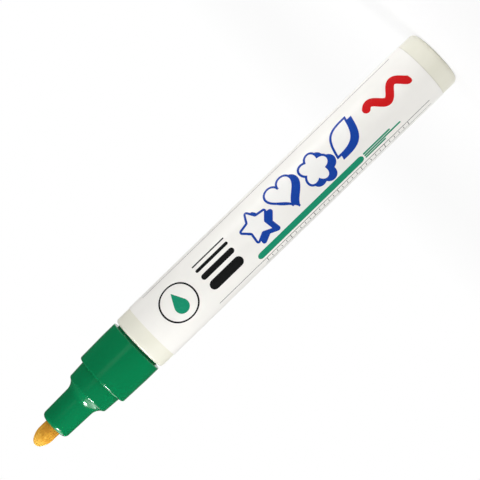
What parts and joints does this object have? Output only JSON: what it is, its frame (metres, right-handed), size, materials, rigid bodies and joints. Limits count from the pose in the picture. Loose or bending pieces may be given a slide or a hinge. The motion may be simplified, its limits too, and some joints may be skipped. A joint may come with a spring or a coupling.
{
  "type": "paint marker",
  "caption": "Slim round valve-action paint marker with a labelled barrel, a stepped front holder and a fibre bullet nib that is pressed in to let paint through.",
  "frame": {"origin": "centre of the tail face, on which the marker stands", "axes": "+Z along the marker's axis from the tail to the nib; the printed front of the label faces -Y and its seam +Y"},
  "size_m": [0.0152, 0.0152, 0.1294],
  "materials": {
    "barrel_ivory": "smooth semi-gloss ivory",
    "label_film": "satin white printed film",
    "holder_green": "moulded semi-gloss green",
    "nib_fibre": "bonded fibre soaked golden ochre",
    "seal_rubber": "matt black rubber",
    "valve_white": "natural white moulded plastic",
    "spring_steel": "drawn steel wire",
    "ball_steel": "ground steel"
  },
  "bodies": {
    "pen_body": {"barrel": "barrel_ivory", "label": "label_film", "front_holder": "holder_green", "valve_housing": "valve_white", "barrel_gasket": "seal_rubber", "spring_cage": "valve_white", "valve_spring": "spring_steel"},
    "tip_plunger": {"nib": "nib_fibre", "valve_stem": "valve_white", "valve_washer": "seal_rubber"},
    "stirrer": {"mixing_ball": "ball_steel"}
  },
  "joints": [
    {"name": "nib_press", "type": "slide", "parent": "pen_body", "child": "tip_plunger", "axis": [0, 0, -1], "range_m": [0, 0.0018], "stiffness_N_per_m": 520, "springref_m": -0.0035, "deforming": ["valve_spring"]},
    {"name": "ball_travel", "type": "slide", "parent": "pen_body", "child": "stirrer", "axis": [0, 0, 1], "range_m": [0, 0.0623]}
  ]
}
